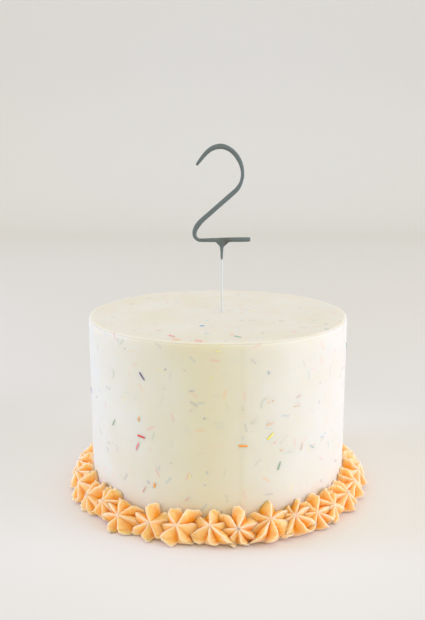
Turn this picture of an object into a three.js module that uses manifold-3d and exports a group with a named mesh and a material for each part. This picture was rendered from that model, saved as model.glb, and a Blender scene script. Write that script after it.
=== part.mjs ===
// A birthday cake, in millimetres, +Z up. The origin is at the middle of the cake's flat base.
// A smooth buttercream drum with sprinkles, a ring of piped stars round its foot, and a numeral
// on a thin wire pushed into its top.

import * as THREE from "three";
import { mergeVertices } from "three/addons/utils/BufferGeometryUtils.js";
import Module from "manifold-3d";

const wasm = await Module();
wasm.setup();

// The drum
const cakeRadius = 80;
const cakeHeight = 110;
const edgeRounding = 1.1;
const cakeSides = 80;

// The clearance left where two separate pieces meet
const gap = 0.3;
// How far what cuts a piece reaches past it: out from the middle, down, up, and above the hole
const cutter = { out: 150, down: 40, up: 60, aboveHole: 1 };
// Points nearer than this are the same point
const weld = 1e-4;

// The piped stars. A petal is its crest's angle round the star, its reach and its broader side
const starCount = 35;
const starSeed = 71;
const frontStars = [
  {
    azimuth: -37,
    tilt: 38,
    petals: [
      [2, 0.9, 1], [58, 1, -1], [114, 1.1, 1], [158, 1.25, 1], [190, 1.25, -1], [236, 1.1, 1], [288, 1, 1],
    ],
  },
  {
    azimuth: -23.7,
    tilt: 42,
    petals: [[30, 0.85, 1], [130, 1.15, -1], [160, 1.15, 1], [196, 1.05, 1], [236, 0.9, 1], [302, 0.85, 1]],
  },
  {
    azimuth: -14.2,
    tilt: 45,
    petals: [[20, 0.95, -1], [64, 1.25, -1], [134, 1.1, -1], [174, 0.95, 1], [212, 1.05, 1], [296, 0.9, 1]],
  },
  {
    azimuth: -2.7,
    tilt: 50,
    petals: [[22, 0.95, -1], [92, 1.1, -1], [134, 0.95, 1], [192, 0.9, 1], [266, 0.9, 1], [320, 1.2, 1]],
  },
  {
    azimuth: 6.8,
    tilt: 42,
    petals: [
      [16, 1.1, 1], [62, 1.25, 1], [118, 1.1, 1], [170, 0.85, 1], [222, 0.8, 1], [286, 0.85, 1],
      [336, 1, 1],
    ],
  },
  {
    azimuth: 19,
    tilt: 55,
    petals: [
      [22, 1.2, -1], [72, 1.25, 1], [138, 1.05, 1], [184, 0.9, 1], [228, 1.2, -1], [280, 1.15, -1],
      [352, 1.1, -1],
    ],
  },
  {
    azimuth: 28.4,
    tilt: 52,
    petals: [
      [14, 1.25, 1], [44, 1.2, 1], [88, 0.9, -1], [140, 0.9, 1], [186, 0.85, -1], [230, 1, -1],
      [284, 1.15, 1], [326, 1.25, 1],
    ],
  },
  {
    azimuth: 37.5,
    tilt: 44,
    petals: [
      [2, 1.25, -1], [46, 1.2, 1], [96, 0.95, 1], [160, 0.9, 1], [236, 1, -1], [288, 1.05, 1],
      [328, 1.2, 1],
    ],
  },
];
// The others have six or seven petals, drawn by lot, which reach further where they climb the wall
const fewestPetals = 6;
const otherReach = 0.96;
const reachVaries = 0.1;
const reachUpWall = 0.16;
const petalAngleVaries = 9;
const azimuthVaries = 0.8;
const otherTilt = 45;
const tiltVaries = 6;
const starLift = 3.2;
const starLap = 0.45;
// How far a petal reaches round the star, facing the wall or the floor, and what it gains sideways
const petalSpan = 52;
const petalSideSpan = 40;
// Out along a petal: the share of its span, the crest's distance and the valley's share of that
const starRings = [
  { along: 0.14, crest: 13, valley: 0.9 },
  { along: 0.36, crest: 12.6, valley: 0.76 },
  { along: 0.6, crest: 13.3, valley: 0.66 },
  { along: 0.82, crest: 13.3, valley: 0.66 },
  { along: 1, crest: 12.3, valley: 0.72 },
  { along: 1.22, crest: 10.2, valley: 0.85 },
];
const starTip = 13.8;
const starBack = 9;
// A petal is fully open by this share of its span, and its crest curls over between the next two
const petalOpen = 0.6;
const curlStarts = 0.65;
const curlEnds = 1.1;
const petalLean = 0.11;
const petalCurl = 0.5;

// The sprinkles
const sprinkleCount = 92;
const sprinkleSeed = 2025;
const sprinkleRadius = 0.6;
const sprinkleLengths = [3.6, 6.2];
const sprinkleSunk = 0.15;
const sprinkleSides = 6;
const lowestSprinkle = 25;
const sprinkleSpacing = 8.5;
const boldLength = 5.4;
// The boldest ones at the front, by azimuth, height and slant, and by place and slant on the top
const boldOnSide = [
  { azimuth: -31, height: 89, slant: -51 },
  { azimuth: -32, height: 54, slant: -6 },
  { azimuth: -34, height: 48, slant: 66 },
  { azimuth: -48, height: 57, slant: 57 },
  { azimuth: 10, height: 53, slant: -4 },
  { azimuth: 14, height: 100, slant: -41 },
  { azimuth: 14, height: 66, slant: 22 },
  { azimuth: 21, height: 57, slant: 43 },
  { azimuth: 21, height: 64, slant: 8 },
  { azimuth: 25, height: 39, slant: 70 },
  { azimuth: 33, height: 72, slant: 1 },
  { azimuth: 42, height: 45, slant: -30 },
];
const boldOnTop = [
  { x: -25, y: -63, slant: -45 },
  { x: -22, y: -71, slant: -13 },
  { x: -10, y: -74, slant: -26 },
  { x: 11, y: -64, slant: -41 },
  { x: 49, y: -41, slant: -19 },
];

// The numeral stands in one upright plane; its places are measured from the cake's top
const numeralY = -2;
const strokeSides = 8;
const strokeSteps = 40;
const tipBulge = 0.6;
// How far along the stroke, and its radius there: full at the crown, the diagonal and the foot
const strokeWidths = [
  [0, 0.65],
  [0.03, 1.05],
  [0.1, 1.35],
  [0.15, 1.6],
  [0.2, 1.4],
  [0.26, 1.35],
  [0.32, 1],
  [0.37, 1],
  [0.4, 1.25],
  [0.46, 1.45],
  [0.54, 1.4],
  [0.62, 1.45],
  [0.67, 1.6],
  [0.7, 1.35],
  [0.74, 1],
  [0.8, 1.15],
  [0.9, 1.4],
  [1, 1.35],
];
const hookTip = [-12.9, 90.6];
const hookHeading = [4.7, 6.2];
const crown = [1.7, 101.9];
const crownPulls = [6.5, 6.8];
const bowlSide = [15.05, 85.6];
const bowlPulls = [8.4, 4.5];
const diagonalTop = [10.6, 75.4];
const diagonalFoot = [-8.3, 59];
const diagonalPulls = [3, 3.5];
const bendTop = [-14.2, 49.6];
const bendPull = 3.5;
const footHeight = 45.7;
const footEnd = [20, 46.2];
const bendRadius = bendTop[1] - footHeight;

// The wire, and the coat's sleeve and lump where the numeral joins it, as radius and height
const wireRadius = 0.55;
const wireX = 2.55;
const wireSunk = 40;
const wireInCoat = 7;
const wireSides = 10;
const coatEnd = 33.5;
const coatSides = 12;
const sleeveProfile = [[0, coatEnd], [1.1, coatEnd], [1.15, 38], [1.5, 41.5], [2.3, 44], [0, 45]];
const lumpProfile = [[0, 42.8], [2.4, 43.4], [3.8, 44.6], [4.2, 45.8], [3, 47.1], [0, 47.6]];
const lumpDepth = 0.6;

const materials = {
  icing: { color: 0xf3ede0, roughness: 0.55, metalness: 0 },
  piping: { color: 0xf3bf80, roughness: 0.6, metalness: 0 },
  coat: { color: 0x70756e, roughness: 0.85, metalness: 0 },
  wire: { color: 0xd9d9d2, roughness: 0.4, metalness: 0.6 },
};

const radians = THREE.MathUtils.degToRad;

// The same run of numbers from 0 to 1 each time
function makeRandom(start) {
  let seed = start;
  return () => {
    seed = (seed * 16807) % 2147483647;
    return seed / 2147483647;
  };
}

// A closed skin over rings of equally many points, drawn to one point at either end
function skinOver(first, rings, last) {
  const sides = rings[0].length;
  const end = 1 + rings.length * sides;
  const at = (ring, side) => 1 + ring * sides + (side % sides);
  const index = [];
  for (let side = 0; side < sides; side += 1) {
    index.push(0, at(0, side), at(0, side + 1));
    for (let ring = 0; ring < rings.length - 1; ring += 1) {
      index.push(at(ring, side), at(ring + 1, side), at(ring + 1, side + 1));
      index.push(at(ring, side), at(ring + 1, side + 1), at(ring, side + 1));
    }
    index.push(end, at(rings.length - 1, side + 1), at(rings.length - 1, side));
  }
  const geometry = new THREE.BufferGeometry().setFromPoints([first, ...rings.flat(), last]);
  geometry.setIndex(index);
  return geometry;
}

function solidOf(geometry) {
  geometry.deleteAttribute("normal");
  geometry.deleteAttribute("uv");
  const merged = mergeVertices(geometry, weld);
  const vertProperties = new Float32Array(merged.attributes.position.array);
  const triVerts = new Uint32Array(merged.index.array);
  return new wasm.Manifold(new wasm.Mesh({ numProp: 3, vertProperties, triVerts }));
}

function geometryOf(solid) {
  const mesh = solid.getMesh();
  const geometry = new THREE.BufferGeometry();
  geometry.setAttribute("position", new THREE.BufferAttribute(mesh.vertProperties, 3));
  geometry.setIndex(new THREE.BufferAttribute(mesh.triVerts, 1));
  return geometry;
}

function largestPiece(solid) {
  return solid.decompose().reduce((best, piece) => (piece.volume() > best.volume() ? piece : best));
}

function namedMesh(name, geometry, finish) {
  const mesh = new THREE.Mesh(geometry, new THREE.MeshStandardMaterial(finish));
  mesh.name = name;
  return mesh;
}

// A solid of revolution about the Z axis, from radius and height pairs
function turned(profile, sides) {
  const points = profile.map(([radius, height]) => new THREE.Vector2(radius, height));
  return new THREE.LatheGeometry(points, sides).rotateX(Math.PI / 2);
}

// An upright rod on the wire's own line
function wireRod(radius, low, high) {
  const rod = turned([[0, low], [radius, low], [radius, high], [0, high]], wireSides);
  return solidOf(rod.translate(wireX, numeralY, 0));
}

// One sprinkle lying along X, with its middle at the origin
function sprinkleRod(length) {
  const rod = new THREE.CylinderGeometry(sprinkleRadius, sprinkleRadius, length, sprinkleSides);
  return rod.rotateZ(Math.PI / 2);
}

function sprinkleOnSide({ azimuth, height, slant, length }) {
  const rod = sprinkleRod(length);
  rod.rotateY(-radians(slant));
  rod.translate(0, sprinkleSunk - cakeRadius, height);
  rod.rotateZ(radians(azimuth));
  return solidOf(rod);
}

function sprinkleOnTop({ x, y, slant, length }) {
  const rod = sprinkleRod(length);
  rod.rotateZ(radians(slant));
  rod.translate(x, y, cakeHeight - sprinkleSunk);
  return solidOf(rod);
}

// Where a sprinkle lies on the drum, as a point to keep the others away from
function placeOf(sprinkle) {
  if (sprinkle.height === undefined) {
    return new THREE.Vector3(sprinkle.x, sprinkle.y, cakeHeight);
  }
  const angle = radians(sprinkle.azimuth);
  return new THREE.Vector3(
    cakeRadius * Math.sin(angle), -cakeRadius * Math.cos(angle), sprinkle.height,
  );
}

// The bold sprinkles first, then others wherever there is room for them, on the side and the top
function scatterSprinkles() {
  const random = makeRandom(sprinkleSeed);
  const between = (low, high) => low + (high - low) * random();
  const margin = sprinkleLengths[1] / 2 + edgeRounding;
  const sideArea = 2 * Math.PI * cakeRadius * (cakeHeight - lowestSprinkle);
  const topArea = Math.PI * cakeRadius ** 2;
  const sprinkles = [...boldOnSide, ...boldOnTop].map((bold) => ({ ...bold, length: boldLength }));
  const wireFoot = new THREE.Vector3(wireX, numeralY, cakeHeight);
  const taken = [wireFoot, ...sprinkles.map(placeOf)];
  while (sprinkles.length < sprinkleCount) {
    const onSide = random() < sideArea / (sideArea + topArea);
    const slant = between(-90, 90);
    const length = between(...sprinkleLengths);
    const azimuth = between(-180, 180);
    const height = between(lowestSprinkle, cakeHeight - margin);
    const radius = (cakeRadius - margin) * Math.sqrt(random());
    const x = radius * Math.sin(radians(azimuth));
    const y = -radius * Math.cos(radians(azimuth));
    const sprinkle = onSide ? { azimuth, height, slant, length } : { x, y, slant, length };
    const place = placeOf(sprinkle);
    if (taken.every((other) => other.distanceTo(place) > sprinkleSpacing)) {
      taken.push(place);
      sprinkles.push(sprinkle);
    }
  }
  return sprinkles;
}

// The buttercream drum with its sprinkles and the hole that the wire made
function makeCake() {
  const shoulder = edgeRounding * (1 - Math.SQRT1_2);
  const profile = [
    [0, 0],
    [cakeRadius, 0],
    [cakeRadius, cakeHeight - edgeRounding],
    [cakeRadius - shoulder, cakeHeight - shoulder],
    [cakeRadius - edgeRounding, cakeHeight],
    [0, cakeHeight],
  ];
  let cake = solidOf(turned(profile, cakeSides));
  for (const sprinkle of scatterSprinkles()) {
    const onSide = sprinkle.height !== undefined;
    cake = cake.add(onSide ? sprinkleOnSide(sprinkle) : sprinkleOnTop(sprinkle));
  }
  const holeTop = cakeHeight + cutter.aboveHole;
  const hole = wireRod(wireRadius + gap, cakeHeight - wireSunk - gap, holeTop);
  return namedMesh("cake", geometryOf(largestPiece(cake.subtract(hole))), materials.icing);
}

// The stars behind the front ones, evenly spread, with six or seven petals drawn by lot
function otherStars() {
  const random = makeRandom(starSeed);
  const vary = (most) => most * (2 * random() - 1);
  const others = starCount - frontStars.length;
  const last = frontStars.at(-1).azimuth;
  const open = 360 - (last - frontStars[0].azimuth);
  return Array.from({ length: others }, (_, i) => {
    const azimuth = last + (open * (i + 1)) / (others + 1) + vary(azimuthVaries);
    const tilt = otherTilt + vary(tiltVaries);
    const twist = 360 * random();
    const count = fewestPetals + Math.round(random());
    const petals = Array.from({ length: count }, (_, petal) => {
      const angle = twist + (360 / count) * petal + vary(petalAngleVaries);
      const climb = Math.max(0, Math.sin(radians(angle)));
      const reach = otherReach + vary(reachVaries) + reachUpWall * climb;
      return [angle, reach, random() < 0.5 ? -1 : 1];
    });
    return { azimuth, tilt, petals };
  });
}

// Each petal with its spans to the valleys after and before it, wider on its broader side
function petalsOf(star) {
  const count = star.petals.length;
  return star.petals.map(([angle, reach, broad], i) => {
    const [nextAngle, nextReach, nextBroad] = star.petals[(i + 1) % count];
    const [lastAngle, , lastBroad] = star.petals[(i + count - 1) % count];
    const toNext = THREE.MathUtils.euclideanModulo(nextAngle - angle, 360);
    const fromLast = THREE.MathUtils.euclideanModulo(angle - lastAngle, 360);
    const after = toNext * (0.5 + petalLean * (broad + nextBroad));
    const before = fromLast * (0.5 - petalLean * (broad + lastBroad));
    const curl = petalCurl * (broad > 0 ? after : -before);
    return { angle, reach, valleyReach: (reach + nextReach) / 2, after, curl };
  });
}

// A point of a star, by its share of the span there, its angle round the star and its distance
function starPoint(star, along, around, distance) {
  const tilt = radians(star.tilt);
  const axis = new THREE.Vector3(0, -Math.cos(tilt), Math.sin(tilt));
  const uphill = new THREE.Vector3(0, Math.sin(tilt), Math.cos(tilt));
  const side = new THREE.Vector3(1, 0, 0);
  const turn = radians(around);
  const polar = radians(along * (petalSpan + petalSideSpan * Math.cos(turn) ** 4));
  const ring = distance * Math.sin(polar);
  return new THREE.Vector3(0, -cakeRadius, 0)
    .addScaledVector(axis, starLift + distance * Math.cos(polar))
    .addScaledVector(side, ring * Math.cos(turn))
    .addScaledVector(uphill, ring * Math.sin(turn))
    .applyAxisAngle(new THREE.Vector3(0, 0, 1), radians(star.azimuth));
}

// The whole star before it is pressed against the wall and its neighbour. A petal is a sharp
// ridge that opens out from the tip and curls over to its broader side at the end
function starSolid(star, grown) {
  const petals = petalsOf(star);
  const rings = starRings.map(({ along, crest, valley }) => {
    const opened = THREE.MathUtils.smoothstep(along, 0, petalOpen);
    const curled = THREE.MathUtils.smoothstep(along, curlStarts, curlEnds);
    const reached = (reach) => 1 + (reach - 1) * opened;
    return petals.flatMap(({ angle, reach, valleyReach, after, curl }) => [
      starPoint(star, along, angle + curl * curled, crest * reached(reach) + grown),
      starPoint(star, along, angle + after, crest * valley * reached(valleyReach) + grown),
    ]);
  });
  const tip = starPoint(star, 0, 0, starTip + grown);
  const back = starPoint(star, 0, 0, -starBack);
  return solidOf(skinOver(tip, rings, back));
}

// The ring of stars, each one pressed to the wall and lapped by the one piped after it
function makeStars() {
  const stars = [...frontStars, ...otherStars()];
  const drumOf = (radius, low, high) => (
    solidOf(turned([[0, low], [radius, low], [radius, high], [0, high]], cakeSides))
  );
  const wall = drumOf(cakeRadius + gap, -cutter.down, cutter.up);
  const below = drumOf(cutter.out, -cutter.down, 0);
  return stars.map((star, i) => {
    const later = starSolid(stars[(i + 1) % starCount], starLap);
    const pressed = starSolid(star, 0).subtract(wall).subtract(below).subtract(later);
    const name = `piped_star_${String(i + 1).padStart(2, "0")}`;
    return namedMesh(name, geometryOf(largestPiece(pressed)), materials.piping);
  });
}

// The numeral's centreline in its own plane: hook, bowl, diagonal, tight bend and foot. Each
// bend leaves one place by a pull along its heading, and reaches the next by another
function numeralPath() {
  const path = new THREE.Path().moveTo(...hookTip);
  const run = [diagonalFoot[0] - diagonalTop[0], diagonalFoot[1] - diagonalTop[1]];
  const downDiagonal = (pull) => run.map((part) => (part * pull) / Math.hypot(...run));
  const bendTo = (heading, place, arrival) => {
    const [x, y] = path.currentPoint.toArray();
    const [toX, toY] = place;
    path.bezierCurveTo(x + heading[0], y + heading[1], toX - arrival[0], toY - arrival[1], toX, toY);
  };
  bendTo(hookHeading, crown, [crownPulls[0], 0]);
  bendTo([crownPulls[1], 0], bowlSide, [0, -bowlPulls[0]]);
  bendTo([0, -bowlPulls[1]], diagonalTop, downDiagonal(diagonalPulls[0]));
  path.lineTo(...diagonalFoot);
  bendTo(downDiagonal(diagonalPulls[1]), bendTop, [0, -bendPull]);
  path.absarc(bendTop[0] + bendRadius, bendTop[1], bendRadius, Math.PI, 1.5 * Math.PI, false);
  path.lineTo(...footEnd);
  return path;
}

// The stroke's radius at a share of its length
function strokeRadiusAt(along) {
  const next = Math.max(1, strokeWidths.findIndex(([stop]) => stop >= along));
  const [fromStop, fromRadius] = strokeWidths[next - 1];
  const [toStop, toRadius] = strokeWidths[next];
  return THREE.MathUtils.mapLinear(along, fromStop, toStop, fromRadius, toRadius);
}

// The grey coat: a stroke with rounded ends, its lump on the wire and the sleeve below that
function makeNumeral() {
  const path = numeralPath();
  const inSpace = (flat, depth) => new THREE.Vector3(flat.x, numeralY + depth, cakeHeight + flat.y);
  const onWire = (geometry) => solidOf(geometry.translate(wireX, numeralY, cakeHeight));
  const rings = [];
  for (let step = 0; step <= strokeSteps; step += 1) {
    const along = step / strokeSteps;
    const middle = path.getPointAt(along);
    const heading = path.getTangentAt(along);
    const radius = strokeRadiusAt(along);
    const across = new THREE.Vector2(-heading.y, heading.x);
    rings.push(Array.from({ length: strokeSides }, (_, i) => {
      const turn = (2 * Math.PI * (i + 0.5)) / strokeSides;
      const flat = middle.clone().addScaledVector(across, radius * Math.cos(turn));
      return inSpace(flat, radius * Math.sin(turn));
    }));
  }
  const endPast = (along, past) => {
    const tip = path.getPointAt(along).addScaledVector(path.getTangentAt(along), past);
    return inSpace(tip, 0);
  };
  const ends = [-strokeRadiusAt(0) * tipBulge, strokeRadiusAt(1) * tipBulge];
  const stroke = solidOf(skinOver(endPast(0, ends[0]), rings, endPast(1, ends[1])));
  const sleeve = onWire(turned(sleeveProfile, coatSides));
  const lump = onWire(turned(lumpProfile, coatSides).scale(1, lumpDepth, 1));
  const socketTop = cakeHeight + coatEnd + wireInCoat + gap;
  const socket = wireRod(wireRadius + gap, cakeHeight, socketTop);
  const coat = stroke.add(sleeve).add(lump).subtract(socket);
  return namedMesh("numeral", geometryOf(largestPiece(coat)), materials.coat);
}

function makeWire() {
  const top = cakeHeight + coatEnd + wireInCoat;
  const rod = wireRod(wireRadius, cakeHeight - wireSunk, top);
  return namedMesh("wire", geometryOf(rod), materials.wire);
}

const cake = new THREE.Group();
cake.add(makeCake(), ...makeStars(), makeNumeral(), makeWire());

export default cake;
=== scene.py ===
"""A birthday cake: ivory buttercream with sprinkles in it, a foot of peach piped stars, and a
grey coated numeral on a pale wire. Lengths are in millimetres until a mesh is made."""

import math

import bpy
import numpy as np
from mathutils import Matrix


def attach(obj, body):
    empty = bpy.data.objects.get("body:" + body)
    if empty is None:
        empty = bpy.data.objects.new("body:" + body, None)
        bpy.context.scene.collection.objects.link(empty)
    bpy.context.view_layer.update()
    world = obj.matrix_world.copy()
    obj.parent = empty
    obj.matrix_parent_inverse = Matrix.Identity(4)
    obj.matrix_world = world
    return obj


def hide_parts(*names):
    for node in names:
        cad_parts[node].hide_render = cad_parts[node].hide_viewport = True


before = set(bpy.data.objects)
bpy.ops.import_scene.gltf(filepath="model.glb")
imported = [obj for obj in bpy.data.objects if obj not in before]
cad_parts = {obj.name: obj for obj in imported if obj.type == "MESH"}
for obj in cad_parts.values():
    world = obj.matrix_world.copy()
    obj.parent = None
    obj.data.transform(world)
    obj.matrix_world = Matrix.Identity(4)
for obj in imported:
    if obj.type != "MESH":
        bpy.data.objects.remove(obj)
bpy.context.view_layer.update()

MM = 0.001

# The drum
CAKE_RADIUS = 80.0
CAKE_HEIGHT = 110.0
EDGE_ROUNDING = 1.3
DRUM_SIDES = 360

# The piped stars: azimuth, tilt and petals. A petal is its crest's angle round the star, its
# reach and its broader side
STAR_COUNT = 35
FRONT_STARS = [
    (-37, 38, [
        (2, 0.9, 1), (58, 1, -1), (114, 1.1, 1), (158, 1.25, 1), (190, 1.25, -1), (236, 1.1, 1), (288, 1, 1),
    ]),
    (-23.7, 42, [
        (30, 0.85, 1), (130, 1.15, -1), (160, 1.15, 1), (196, 1.05, 1), (236, 0.9, 1), (302, 0.85, 1),
    ]),
    (-14.2, 45, [
        (20, 0.95, -1), (64, 1.25, -1), (134, 1.1, -1), (174, 0.95, 1), (212, 1.05, 1), (296, 0.9, 1),
    ]),
    (-2.7, 50, [
        (22, 0.95, -1), (92, 1.1, -1), (134, 0.95, 1), (192, 0.9, 1), (266, 0.9, 1), (320, 1.2, 1),
    ]),
    (6.8, 42, [
        (16, 1.1, 1), (62, 1.25, 1), (118, 1.1, 1), (170, 0.85, 1), (222, 0.8, 1), (286, 0.85, 1),
        (336, 1, 1),
    ]),
    (19, 55, [
        (22, 1.2, -1), (72, 1.25, 1), (138, 1.05, 1), (184, 0.9, 1), (228, 1.2, -1), (280, 1.15, -1),
        (352, 1.1, -1),
    ]),
    (28.4, 52, [
        (14, 1.25, 1), (44, 1.2, 1), (88, 0.9, -1), (140, 0.9, 1), (186, 0.85, -1), (230, 1, -1),
        (284, 1.15, 1), (326, 1.25, 1),
    ]),
    (37.5, 44, [
        (2, 1.25, -1), (46, 1.2, 1), (96, 0.95, 1), (160, 0.9, 1), (236, 1, -1), (288, 1.05, 1),
        (328, 1.2, 1),
    ]),
]
# The others have six or seven petals, drawn by lot, which reach further where they climb the wall
STAR_SEED = 71
OTHER_REACH = 0.96
REACH_VARIES = 0.1
REACH_UP_WALL = 0.16
OTHER_TILT = 45.0
TILT_VARIES = 6.0
STAR_LIFT = 3.2
# How far a petal reaches round the star, facing the wall or the floor, and what it gains sideways
PETAL_SPAN = 52.0
PETAL_SIDE_SPAN = 40.0
STAR_TIP = 13.8
# Out along a petal: the share of its span, the crest's distance and the valley's share of that
STAR_RINGS = [
    (0, STAR_TIP, 1.0),
    (0.14, 13.0, 0.9),
    (0.36, 12.6, 0.77),
    (0.6, 13.3, 0.68),
    (0.82, 13.4, 0.68),
    (0.99, 12.9, 0.73),
    (1.08, 11.4, 0.8),
    (1.25, 9.7, 0.88),
    (1.6, 8.5, 1.0),
]
STAR_BACK = 9.0
PETAL_LEAN = 0.11
PETAL_CURL = 0.8

# The sprinkles
SPRINKLE_COUNT = 92
SPRINKLE_SEED = 2025
SPRINKLE_RADIUS = 0.6
SPRINKLE_LENGTHS = (3.6, 6.2)
LOWEST_SPRINKLE = 25.0
SPRINKLE_SPACING = 8.5
BOLD_LENGTH = 5.4
CAD_EDGE_ROUNDING = 1.1

# The numeral, measured from the cake's top in its own upright plane
NUMERAL_Y = -2.0
HOOK_TIP = (-12.9, 90.6)
CROWN = (1.7, 101.9)
BOWL_SIDE = (15.05, 85.6)
DIAGONAL_TOP = (10.6, 75.4)
DIAGONAL_FOOT = (-8.3, 59.0)
BEND_TOP = (-14.2, 49.6)
FOOT_HEIGHT = 45.7
FOOT_END = (20.0, 46.2)
BEND_RADIUS = BEND_TOP[1] - FOOT_HEIGHT
WIRE_X = 2.55
WIRE_RADIUS = 0.6
WIRE_SUNK = 40.0
COAT_END = 33.5


def linear(red, green, blue):
    """An sRGB colour from 0 to 255 as the scene-linear colour that a shader takes."""
    def one(value):
        share = value / 255
        return share / 12.92 if share <= 0.04045 else ((share + 0.055) / 1.055) ** 2.4
    return (one(red), one(green), one(blue), 1.0)


ICING = linear(228, 225, 211)
ICING_SHADE = linear(226, 220, 199)
# Painted shade: the yellower, darker icing laid on the front of the side
ICING_PAINTED_SHADE = linear(227, 221, 195)
PIPING_FACE = linear(255, 205, 141)
PIPING_RICH = linear(255, 197, 119)
# Painted highlight: the paler colour of the crests, also painted on the torn ends to lift their shade
PIPING_PAINTED_LIGHT = linear(253, 209, 180)
# Painted shade: the deeper orange the cream is painted down in the valleys between crests
PIPING_VALLEY_SHADE = linear(255, 171, 46)
COAT = linear(112, 124, 123)
COAT_DARK = linear(89, 96, 92)
COAT_BROWN = linear(89, 90, 81)
WIRE = linear(206, 210, 202)
WIRE_BRIGHT = linear(222, 226, 222)
FLOOR = (0.7, 0.673, 0.64, 1.0)
# Painted light: the floor is painted lighter round the cake, against the shadow the cake casts
FLOOR_PAINTED_LIGHT = (0.78, 0.755, 0.72, 1.0)
BACKDROP = (0.75, 0.74, 0.765, 1.0)
# Where the painted light round the middle of the floor, which takes out the cake's shadow there, fades out,
# and where the backdrop fades in, in metres
PAINTED_LIGHT_FADES = (0.09, 0.24)
BACKDROP_FADES = (0.2, 1.3)

SPRINKLE_COLOURS = {
    "red": linear(224, 38, 14),
    "pink": linear(255, 94, 120),
    "orange": linear(255, 162, 58),
    "yellow": linear(250, 240, 60),
    "green": linear(20, 146, 96),
    "blue": linear(92, 162, 202),
    "violet": linear(68, 50, 124),
    "slate": linear(100, 112, 140),
}


# The sprinkles under the icing: how each lot of them lies, and how strongly the boldest shows
BURIED_HUES = ["pink", "blue", "orange", "slate", "yellow", "pink", "green", "violet", "blue", "red"]
BURIED_LAYERS = [
    ({"Spacing": 10.0, "Half length": 1.9, "Half width": 0.6, "Blur": 0.6, "Share hidden": 0.3}, 0.25),
    ({"Spacing": 13.0, "Half length": 0.3, "Half width": 0.5, "Blur": 0.35, "Share hidden": 0.4,
      "Shift": 57.0}, 0.35),
]

# Half the width of the seam at the back, where nothing buried shows
SEAM_HALF_WIDTH = 3.5


class Draws:
    """The same run of numbers from 0 to 1 each time, as the part's own source draws them."""

    def __init__(self, seed):
        self.seed = seed

    def next(self):
        self.seed = self.seed * 16807 % 2147483647
        return self.seed / 2147483647

    def vary(self, most):
        return most * (2 * self.next() - 1)

    def between(self, low, high):
        return low + (high - low) * self.next()


def join_up(tree, socket, value):
    """Links a socket to an input, or gives the input a plain value."""
    if isinstance(value, bpy.types.NodeSocket):
        tree.links.new(value, socket)
    else:
        socket.default_value = value


def fill(tree, node, inputs):
    """Links or sets each of a node's named inputs."""
    for key, value in inputs.items():
        join_up(tree, node.inputs[key], value)


def add_node(tree, kind, inputs=None, **settings):
    node = tree.nodes.new(kind)
    for name, value in settings.items():
        setattr(node, name, value)
    fill(tree, node, inputs or {})
    return node


def calc(tree, operation, *values, kind="ShaderNodeMath"):
    node = add_node(tree, kind, operation=operation)
    for socket, value in zip(node.inputs, values):
        join_up(tree, socket, value)
    return node.outputs[0]


def fade(tree, value, start, end, kind="SMOOTHSTEP"):
    """A share that goes from 0 at the start to 1 at the end."""
    return add_node(tree, "ShaderNodeMapRange", {
        "Value": value, "From Min": start, "From Max": end,
    }, interpolation_type=kind).outputs["Result"]


def hypotenuse(tree, x, y):
    squares = calc(tree, "ADD", calc(tree, "POWER", x, 2.0), calc(tree, "POWER", y, 2.0))
    return calc(tree, "SQRT", squares)


def new_group(name, kind, inputs, outputs):
    """A node group with named sockets; returns it with its input and output nodes."""
    tree = bpy.data.node_groups.new(name, kind)
    for label, socket_type, value in inputs:
        socket = tree.interface.new_socket(name=label, in_out="INPUT", socket_type=socket_type)
        if value is not None:
            socket.default_value = value
    for label, socket_type in outputs:
        tree.interface.new_socket(name=label, in_out="OUTPUT", socket_type=socket_type)
    return tree, tree.nodes.new("NodeGroupInput"), tree.nodes.new("NodeGroupOutput")


def use_group(tree, group, inputs):
    kind = "GeometryNodeGroup" if tree.bl_idname == "GeometryNodeTree" else "ShaderNodeGroup"
    node = tree.nodes.new(kind)
    node.node_tree = group
    fill(tree, node, inputs)
    return node


def mesh_object(name, points, faces=(), edges=()):
    """An object at the origin from points in millimetres."""
    mesh = bpy.data.meshes.new(name)
    mesh.from_pydata((np.asarray(points, float) * MM).tolist(), list(edges), list(faces))
    mesh.update()
    thing = bpy.data.objects.new(name, mesh)
    bpy.context.scene.collection.objects.link(thing)
    return thing


def store(thing, name, values, kind="FLOAT"):
    """A named value at each point of a mesh."""
    attribute = thing.data.attributes.new(name, kind, "POINT")
    field = {"FLOAT": "value", "FLOAT_VECTOR": "vector", "FLOAT_COLOR": "color"}[kind]
    attribute.data.foreach_set(field, np.asarray(values, np.float32).ravel())


def shade_smooth(thing):
    thing.data.polygons.foreach_set("use_smooth", [True] * len(thing.data.polygons))


def grow(thing, tree, values):
    """Runs a geometry tree on an object with these named inputs, and keeps the plain mesh."""
    modifier = thing.modifiers.new("growing", "NODES")
    modifier.node_group = tree
    for item in tree.interface.items_tree:
        if item.in_out == "INPUT" and item.name in values:
            modifier[item.identifier] = values[item.name]
    depsgraph = bpy.context.evaluated_depsgraph_get()
    made = bpy.data.meshes.new_from_object(
        thing.evaluated_get(depsgraph), preserve_all_data_layers=True, depsgraph=depsgraph
    )
    thing.modifiers.clear()
    made.name = thing.name
    thing.data = made
    return thing


def finish_piece(piece, slot, *nodes):
    """The piece moves with the cake and stands for these nodes; the slot is not used."""
    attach(piece, "root")
    if nodes:
        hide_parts(*nodes)


# Materials

def new_material(name):
    material = bpy.data.materials.new(name)
    material.use_nodes = True
    tree = material.node_tree
    place = add_node(tree, "ShaderNodeTexCoord").outputs["Object"]
    return material, tree, tree.nodes["Principled BSDF"], place


def mix_colours(tree, share, first, second):
    node = add_node(tree, "ShaderNodeMix", data_type="RGBA")
    for index, value in ((0, share), (6, first), (7, second)):
        join_up(tree, node.inputs[index], value)
    return node.outputs[2]


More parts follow.
